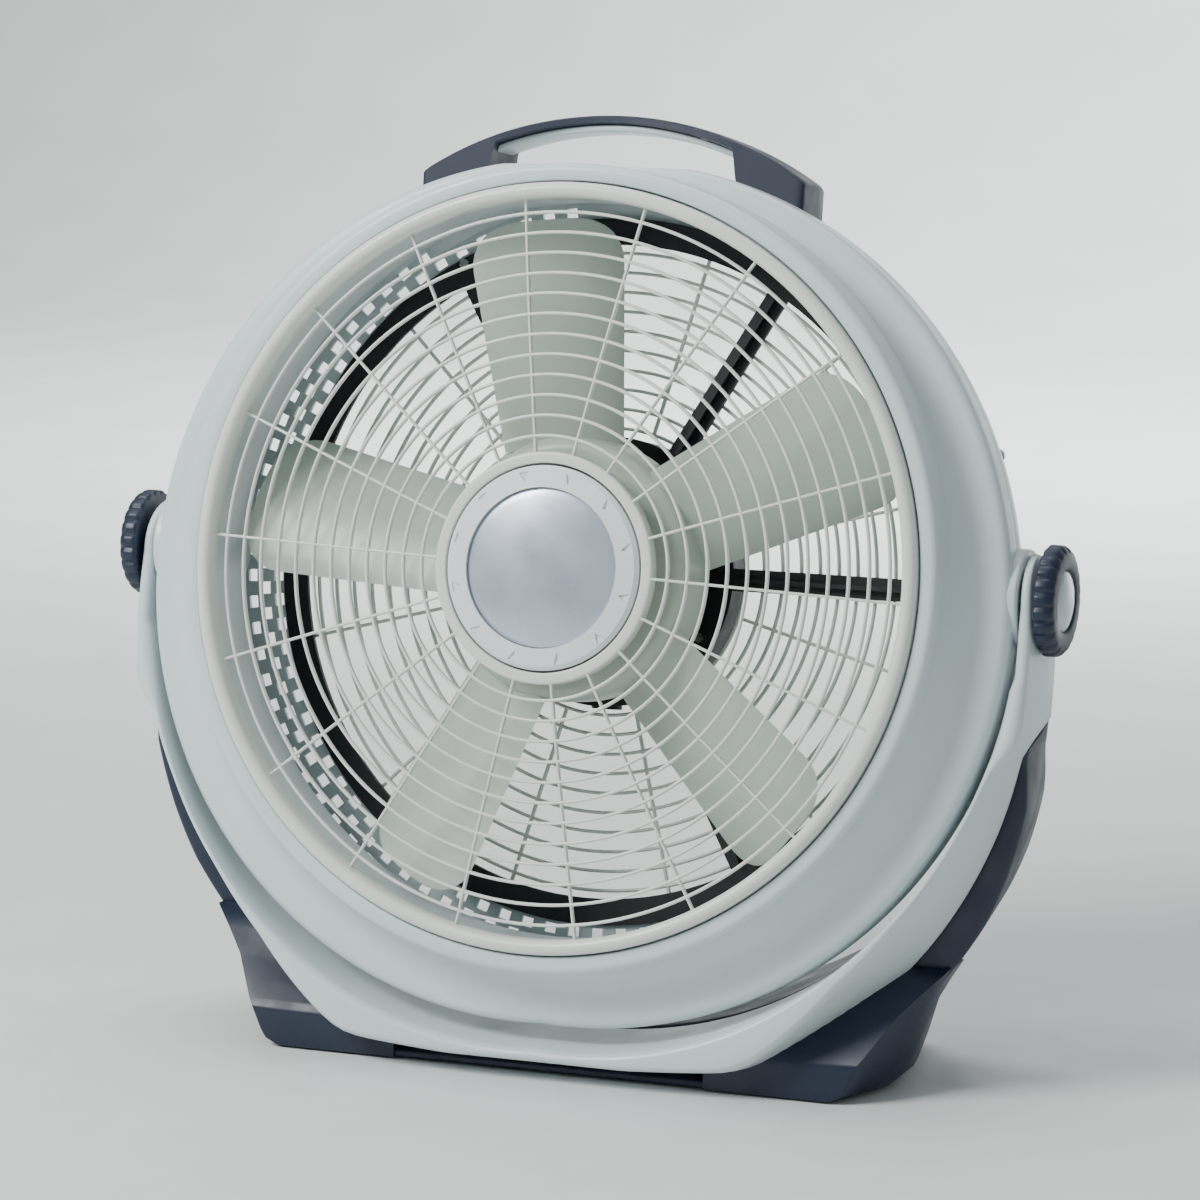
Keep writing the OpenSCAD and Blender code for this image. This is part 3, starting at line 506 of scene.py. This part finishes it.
# ---------- knobs ----------
def knob(radius, low, flutes=22):
    """Fluted knob whose inner face is at low, with a hollow for its cap."""
    profile = ([(0, low), (radius - 3, low)] + arc(radius - 2, low + 2, 2, -80, 0, 4)
               + [(radius, low + 4)] + arc(radius - 6, low + 5.5, 6, 8, 84, 8)
               + [(19.4, low + 11.5), (18.2, low + 11.0), (17.4, low + 9.6), (0, low + 9.5)])
    rings = []
    for i in range(flutes * 12):
        a = TURN * i / (flutes * 12)
        dip = 1.5 * (0.5 - 0.5 * cos(a * flutes)) ** 3
        ring = []
        for r, w in profile:
            rim = min(1, max(0, (r - radius + 6) / 4))
            ring.append(((r - dip * rim) * cos(a), (r - dip * rim) * sin(a), w))
        rings.append(ring)
    return loft(rings)


def cap(low):
    """Domed cap of a knob."""
    dome = 45.0
    top = [(r, low + 4.2 - dome + sqrt(dome ** 2 - r * r)) for r in (16.3, 14, 11, 8, 5, 2.5, 0)]
    return revolve([(0, low), (16.6, low), (17.0, low + 0.4)] + top, 96)


for name, side in (("left", -1), ("right", 1)):
    build(name + "_grip", [knob(31.5, KNOB_IN)], navy_mat, name + "_clamp", beside(side), 40,
          [name + "_knob"])
    build(name + "_dome", [cap(KNOB_IN + 9.6)], silver_mat, name + "_clamp", beside(side), 40,
          [name + "_knob_cap"])


# ---------- cradle ----------
CLEAR = 3.2          # gap between drum and cradle
ARM_IN = 267.4       # inner and outer faces of the arms
ARM_OUT = 276.0
ARM_HALF = 25.0      # half the width of an arm at its top
ARM_END = -71.0      # height at which the navy frame begins
CRADLE_R = 277.0     # outer round of the cradle
SEAM = 18.0          # where the light shell meets the navy frame
FRAME_BACK = -88.0
FRAME_LOW = 283.5    # depth of the navy frame below the tilt axis
FLOOR = -283.4       # underside of the feet


def least(values, soft=2.5):
    """Smallest of the values, with the corners between them rounded."""
    return -soft * log(sum(exp(-(v - values[0]) / soft) for v in values)) + values[0]


def cradle_in(a):
    """Distance from the drum's middle, at angle a, to the cradle's inner surface."""
    t = SIDE * abs(cos(a)) + sqrt((R + CLEAR) ** 2 - (SIDE * sin(a)) ** 2)
    if sin(a) > -0.12:
        t = max(t, ARM_IN / abs(cos(a)))
    return t


def cradle_out(a, mid, radius, floor):
    """The same to the outer surface: a round, held in by the arms' faces and the floor."""
    s = sin(a)
    c = cos(a)
    d = -DROP - mid
    limits = [sqrt(radius ** 2 - (d * c) ** 2) - d * s]
    if abs(c) > 0.3:
        limits.append(ARM_OUT / abs(c))
    if s < -0.3:
        limits.append((floor - DROP) / -s)
    return max(least(limits), cradle_in(a) + 3.5)


def between(u, points):
    """Value at height u on the line through (height, value) points, top first."""
    if u >= points[0][0]:
        return points[0][1]
    for (u1, v1), (u2, v2) in zip(points, points[1:]):
        if u >= u2:
            return v1 + (v2 - v1) * (u1 - u) / (u1 - u2)
    return points[-1][1]


def front_span(u):
    """Back and front of the light shell at height u."""
    if u > 0:
        half = sqrt(max(ARM_HALF ** 2 - u * u, 0.0))
        return -half, half
    back = between(u, [(0, -ARM_HALF), (ARM_END, -27), (-80, SEAM), (-300, SEAM)])
    return back, ARM_HALF + 61 * min(1, -u / 269)


def rear_span(u):
    """Back and front of the navy frame at height u."""
    return (between(u, [(ARM_END, -27.4), (-271.5, FRAME_BACK)]),
            between(u, [(ARM_END, -27.2), (-80, SEAM - 0.3), (-300, SEAM - 0.3)]))


def cradle_ring(a, span, outer, soft):
    """Section of the cradle at angle a, with rounded edges."""
    t_in = cradle_in(a)
    s = sin(a)
    mid_out = outer(a, 0)
    back, ahead = span(-DROP + (t_in + mid_out) / 2 * s)
    length = max(ahead - back, 0.05)
    ring = []
    for u, v in rounded(mid_out - t_in, length, min(soft, length * 0.45), 6):
        z = (back + ahead) / 2 + v
        p = (u + (mid_out - t_in) / 2) / (mid_out - t_in)
        t = t_in + (outer(a, z) - t_in) * p
        ring.append((t * cos(a), -DROP + t * s, z))
    return ring


def u_angles(top, knee):
    """Angles down one arm and up the other, closer together near the tips."""
    angles = [top + (knee - top) * (1 - cos(pi / 2 * i / 14)) for i in range(15)]
    steps = round((knee + 90) / 1.6)
    angles += [knee - (knee + 90) * i / steps for i in range(1, steps + 1)]
    return [radians(a) for a in angles] + [radians(-180 - a) for a in reversed(angles[:-1])]


def front_outer(a, z):
    """The light shell's outer surface, which slopes inwards from the seam to the front."""
    down = DROP + (R + 14) * sin(-a if a > -pi / 2 else pi + a)
    slope = between(-down, [(ARM_END, 0), (-90, 0.4), (-160, 0.46), (-210, 0.37), (-241, 0.2),
                            (-270, 0.07)])
    start = cradle_out(a, -30, CRADLE_R, 277)
    return max(start - slope * max(z - SEAM, 0), cradle_in(a) + 3.2)


def flare(a):
    """How far the frame swells outwards where it runs into a foot."""
    angle = abs(90 + a * 180 / pi)
    return between(-angle, [(-34, 34), (-40, 26), (-43, 18), (-47, 16), (-55, 15), (-61, 12),
                            (-69, 7), (-74, 0)])


def rear_outer(a, z):
    """The navy frame's outer surface, smaller towards the back."""
    k = min(max((z - FRAME_BACK) / 80, 0), 1)
    wide = cradle_out(a, -58 + 28 * k, CRADLE_R - 15 + 15 * k, FRAME_LOW) + flare(a) * k
    sides = (ARM_OUT - 0.5) / max(abs(cos(a)), 0.1)
    return min(wide, (FRAME_LOW - DROP) / max(-sin(a), 0.1), sides)


shell_rings = [cradle_ring(a, front_span, front_outer, 6.0) for a in u_angles(8.13, -4)]
build("cradle_shell", [loft(shell_rings, closed=False, caps=True)], shell_mat, "base", base, 50,
      ["cradle_front"])


def soft_box(x1, x2, y1, y2, z1, z2, r):
    """Box with rounded edges."""
    rings = []
    turns = [pi / 2 * i / 5 for i in range(6)]
    ends = [(z1 + r * (1 - sin(t)), r * (1 - cos(t))) for t in reversed(turns)]
    ends += [(z2 - r * (1 - sin(t)), r * (1 - cos(t))) for t in turns]
    for z, inset in ends:
        ring = rounded(x2 - x1 - 2 * inset, y2 - y1 - 2 * inset, r, 5)
        rings.append([((x1 + x2) / 2 + u, (y1 + y2) / 2 + v, z) for u, v in ring])
    return loft(rings, closed=False, caps=True)


FOOT_BACK = -8       # between these two the foot has its full width and height
FOOT_FRONT = 22
FOOT_ENDS = ((-87.9, 3.0), (-87.2, 1.4), (-85.5, 0.3), (-83, 0), (FOOT_BACK, 0), (FOOT_FRONT, 0),
             (32, 0), (42, 0), (52, 0), (60, 0), (62.5, 0.6), (63.6, 1.6), (64, 3.2))


def foot_out(up, z):
    """How far out the foot's side stands at height up, less towards its two ends."""
    out = between(up, [(-206, 232), (-219, 223.5), (-234, 214), (-260, 206), (-275, 200),
                       (-280, 197), (FLOOR, 190)])
    return out - 18 * max(0, z - FOOT_FRONT) / 42 - 25 * max(0, FOOT_BACK - z) / 80


def foot_in(up):
    """Inner side of the foot, which stays inside the light shell."""
    clear = R + 5.8
    return max(96, SIDE + sqrt(max(clear ** 2 - (up + DROP) ** 2, 0)))


def foot_ring(side, z, inset):
    """Section of a foot at z, drawn in by the inset where the foot ends."""
    top = -212 - 50 * max(0, z - FOOT_FRONT) / 42 - 46 * max(0, FOOT_BACK - z) / 80
    rows = [FLOOR + (top - FLOOR) * k / 12 for k in (0, 0.25, 1, 2, 3, 4.5, 6, 8, 10, 12)]
    sink = [0, 0.02] + [i / 8 for i in range(1, 9)]
    points = [(foot_out(up, z), up, k) for up, k in zip(rows, sink)]
    points += [(foot_in(up), up, k) for up, k in zip(reversed(rows), reversed(sink))]
    middle = (points[0][0] + points[-1][0]) / 2
    return [(side * (x - (inset if x > middle else 0)), max(FLOOR, up - inset * k), z)
            for x, up, k in points]


frame_rings = [cradle_ring(a, rear_span, rear_outer, 4.0) for a in u_angles(-10.4, -24)]
rear_parts = [loft(frame_rings, closed=False, caps=True)]
for side in (-1, 1):
    rear_parts.append(loft([foot_ring(side, z, inset) for z, inset in FOOT_ENDS],
                           closed=False, caps=True))
rear_parts.append(soft_box(-110, 110, -283.3, -279.6, -9, 62.5, 1.2))
build("cradle_frame", rear_parts, navy_mat, "base", base, 50, ["cradle_rear"])


# ---------- pieces that keep their designed solids ----------
finishes = {
    "badge_ring": white_mat, "motor_mount": black_mat, "rear_cover": black_mat,
    "motor_front_bell": case_mat, "motor_rear_bell": case_mat, "motor_stator": stack_mat,
    "motor_windings": copper_mat, "motor_bearings": bronze_mat, "motor_rotor_core": stack_mat,
    "motor_shaft": steel_mat, "spinner_nut": navy_mat, "capacitor": silver_mat,
    "speed_switch": black_mat, "speed_knob": navy_mat, "cord_gland": black_mat,
    "handle_screws": steel_mat, "housing_screws": steel_mat, "grille_screws": steel_mat,
    "mount_screws": steel_mat, "motor_screws": steel_mat, "cover_screws": steel_mat,
    "pivot_inserts": bronze_mat, "pivot_washers": rubber_mat, "left_knob_stud": steel_mat,
    "right_knob_stud": steel_mat, "cradle_screws": steel_mat, "foot_pads": rubber_mat,
}
for name, material in finishes.items():
    piece = nodes[name]
    piece.data.materials.clear()
    piece.data.materials.append(material)
    bevel = piece.modifiers.new("edge", "BEVEL")
    bevel.width = 0.0004
    bevel.segments = 2
    bevel.limit_method = "ANGLE"
    bevel.angle_limit = radians(40)

# ---------- stage ----------
floor_mat = finish_of("floor", (0.74, 0.77, 0.76), 0.6, vary=0.02, grain=60.0, bump=0.01)
mesh = bpy.data.meshes.new("floor")
bend = 1.6
sweep = [(-6, 0.0), (3.2, 0.0)]
sweep += [(3.2 + bend * sin(t), bend - bend * cos(t)) for t in (pi / 2 * i / 12 for i in range(1, 13))]
sweep.append((4.8, 6.0))
mesh.from_pydata([(x, y, z) for y, z in sweep for x in (-9, 9)], [],
                 [(2 * i, 2 * i + 1, 2 * i + 3, 2 * i + 2) for i in range(len(sweep) - 1)])
mesh.materials.append(floor_mat)
mesh.shade_smooth()
floor = bpy.data.objects.new("floor", mesh)
bpy.context.scene.collection.objects.link(floor)


def lamp(name, place, aim, size, power, color):
    """Rectangular lamp that points at aim."""
    data = bpy.data.lights.new(name, "AREA")
    data.shape = "RECTANGLE"
    data.size = size[0]
    data.size_y = size[1]
    data.energy = power
    data.color = color
    lamp_object = bpy.data.objects.new(name, data)
    lamp_object.location = place
    lamp_object.rotation_euler = (Vector(aim) - Vector(place)).to_track_quat("-Z", "Y").to_euler()
    bpy.context.scene.collection.objects.link(lamp_object)


lamp("key", (-1.7, -2.0, 2.3), (0, 0, 0.3), (1.2, 1.2), 122, (1.0, 0.995, 0.98))
lamp("top", (-0.3, 0.5, 2.6), (0, 0, 0.3), (2.2, 1.6), 34, (1.0, 1.0, 1.0))
lamp("fill", (2.4, -2.0, 1.2), (0, 0, 0.3), (1.4, 2.0), 2.5, (0.86, 0.93, 1.0))
lamp("behind", (0.2, 2.6, 1.4), (0, 3.4, 0.2), (3.4, 1.8), 130, (1.0, 1.0, 1.0))

world = bpy.data.worlds.new("studio")
world.use_nodes = True
world.node_tree.nodes["Background"].inputs["Color"].default_value = (0.80, 0.86, 0.90, 1)
world.node_tree.nodes["Background"].inputs["Strength"].default_value = 0.42
bpy.context.scene.world = world

# ---------- camera ----------
azimuth = radians(21.6)
elevation = radians(9.5)
target = Vector((0, 0, PIVOT * MM))
away = Vector((sin(azimuth) * cos(elevation), -cos(azimuth) * cos(elevation), sin(elevation)))
camera = bpy.data.objects.new("camera", bpy.data.cameras.new("camera"))
camera.location = target + away * 2.9
camera.rotation_euler = away.to_track_quat("Z", "Y").to_euler()
camera.data.lens = 150.48
camera.data.sensor_width = 36
camera.data.shift_x = 0.0107
camera.data.shift_y = -0.0247
camera.data.clip_end = 60
bpy.context.scene.collection.objects.link(camera)
bpy.context.scene.camera = camera
